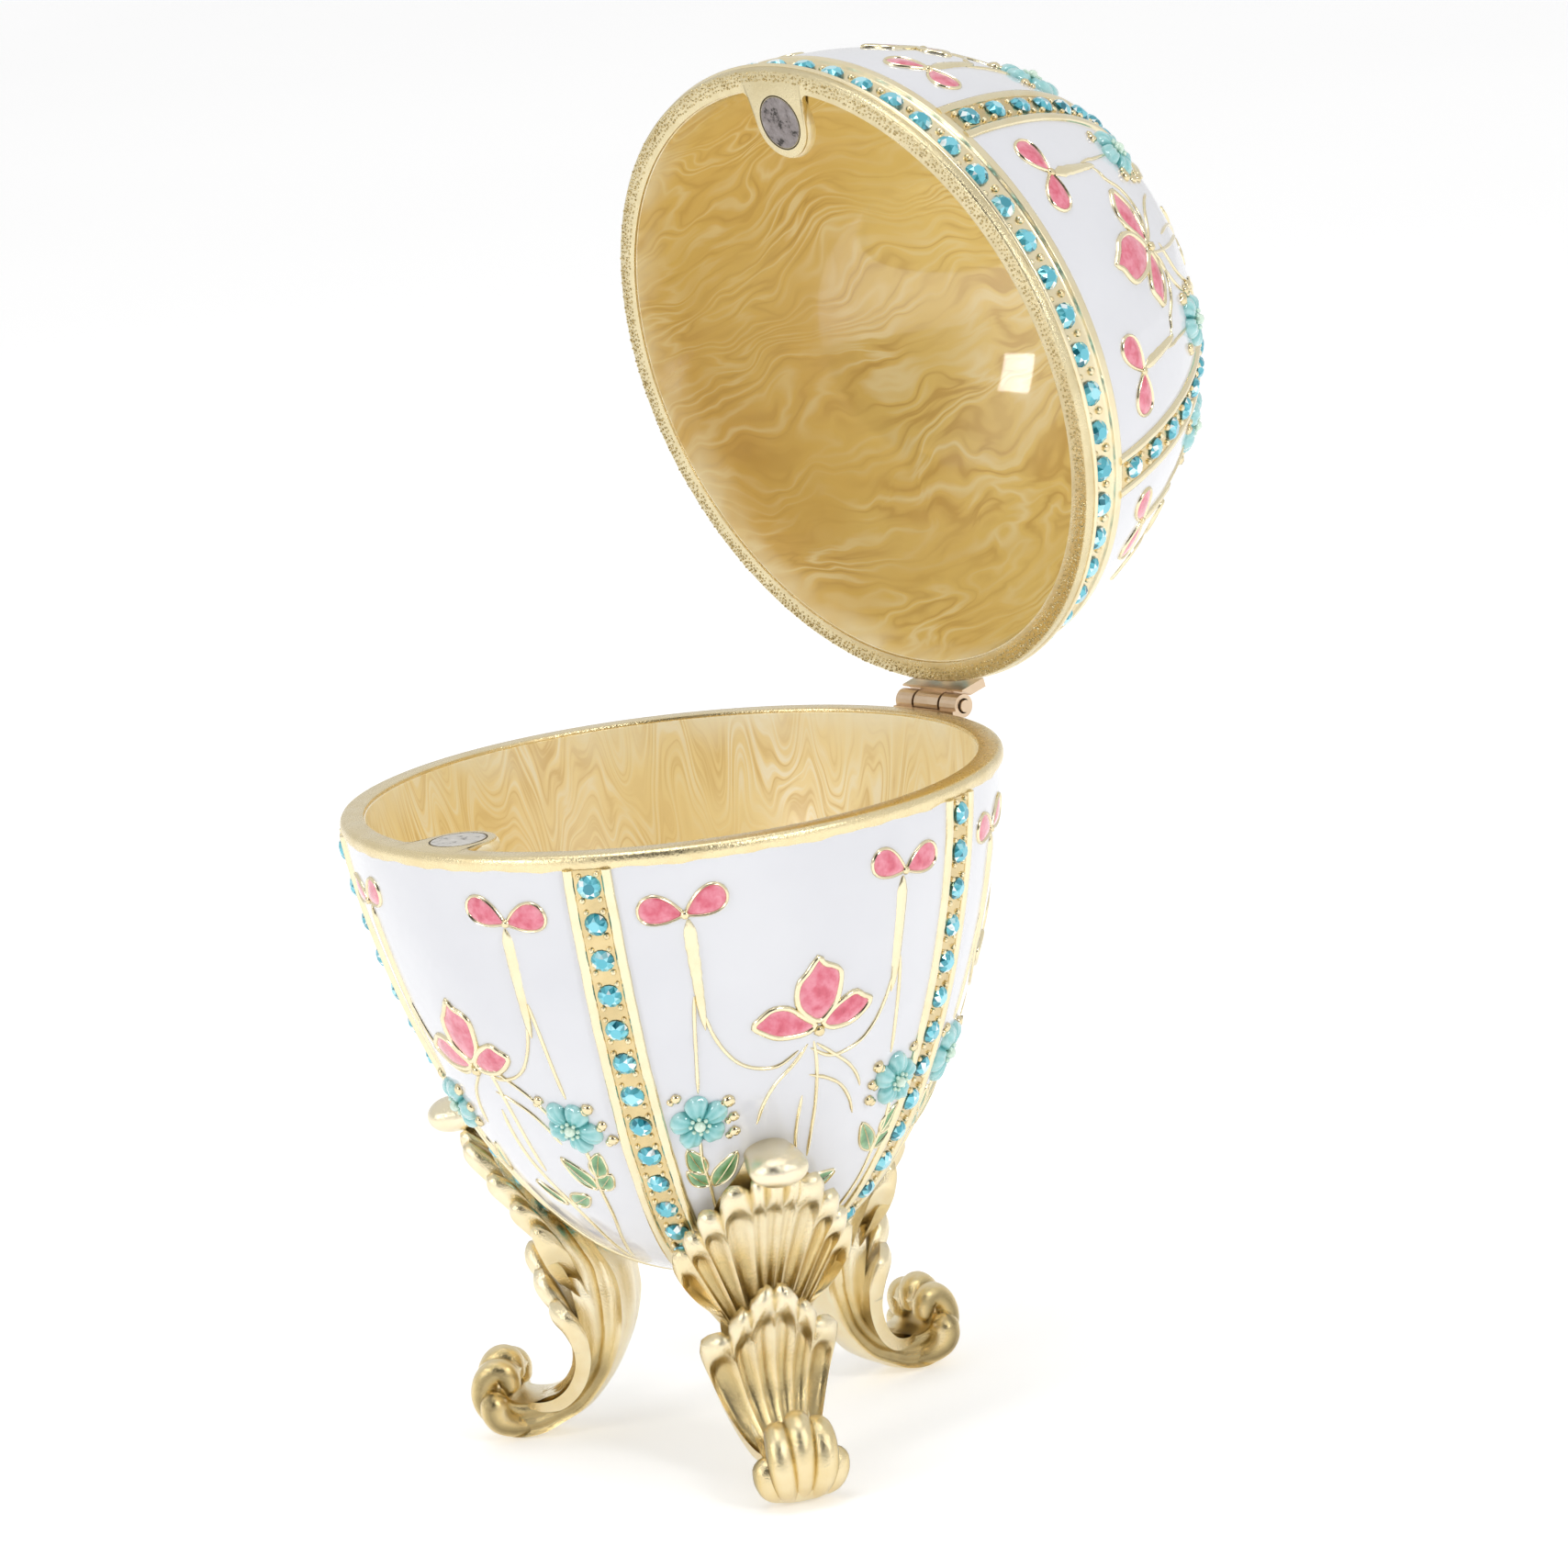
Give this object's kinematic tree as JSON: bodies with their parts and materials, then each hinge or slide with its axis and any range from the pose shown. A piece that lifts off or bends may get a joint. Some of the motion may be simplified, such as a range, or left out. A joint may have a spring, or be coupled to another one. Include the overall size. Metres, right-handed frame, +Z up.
{
  "type": "jewelled egg trinket box",
  "caption": "Hollow egg-shaped trinket box of gilt metal with white enamel panels and jewelled bands, a lid on a back hinge, and scroll legs.",
  "frame": {"origin": "on the ground, at the middle of the box round the open model", "axes": "+Z up; +Y from the front of the egg, where the magnets are, to the hinge at the back; +X to the right seen from the front"},
  "size_m": [0.0634, 0.0946, 0.129],
  "materials": {
    "enamel": "glossy white enamel panels on a gilt cast shell, with coloured flowers and a pearly cream lining",
    "gold": "polished pale gold plate on cast metal",
    "hinge_brass": "rosy drawn brass, lightly polished",
    "magnet": "nickel-plated magnet discs, matt grey"
  },
  "bodies": {
    "base": {"base_shell": "enamel", "leg_back": "gold", "leg_front_left": "gold", "leg_front_right": "gold", "hinge_leaf_base": "hinge_brass", "hinge_pin": "hinge_brass", "magnet_base": "magnet"},
    "lid": {"lid_shell": "enamel", "hinge_leaf_lid": "hinge_brass", "magnet_lid": "magnet"}
  },
  "joints": [
    {"name": "lid_hinge", "type": "hinge", "parent": "base", "child": "lid", "pos_m": [0, 0.0174, 0.0644], "axis": [1, 0, 0], "range_deg": [0, 77.8]}
  ]
}
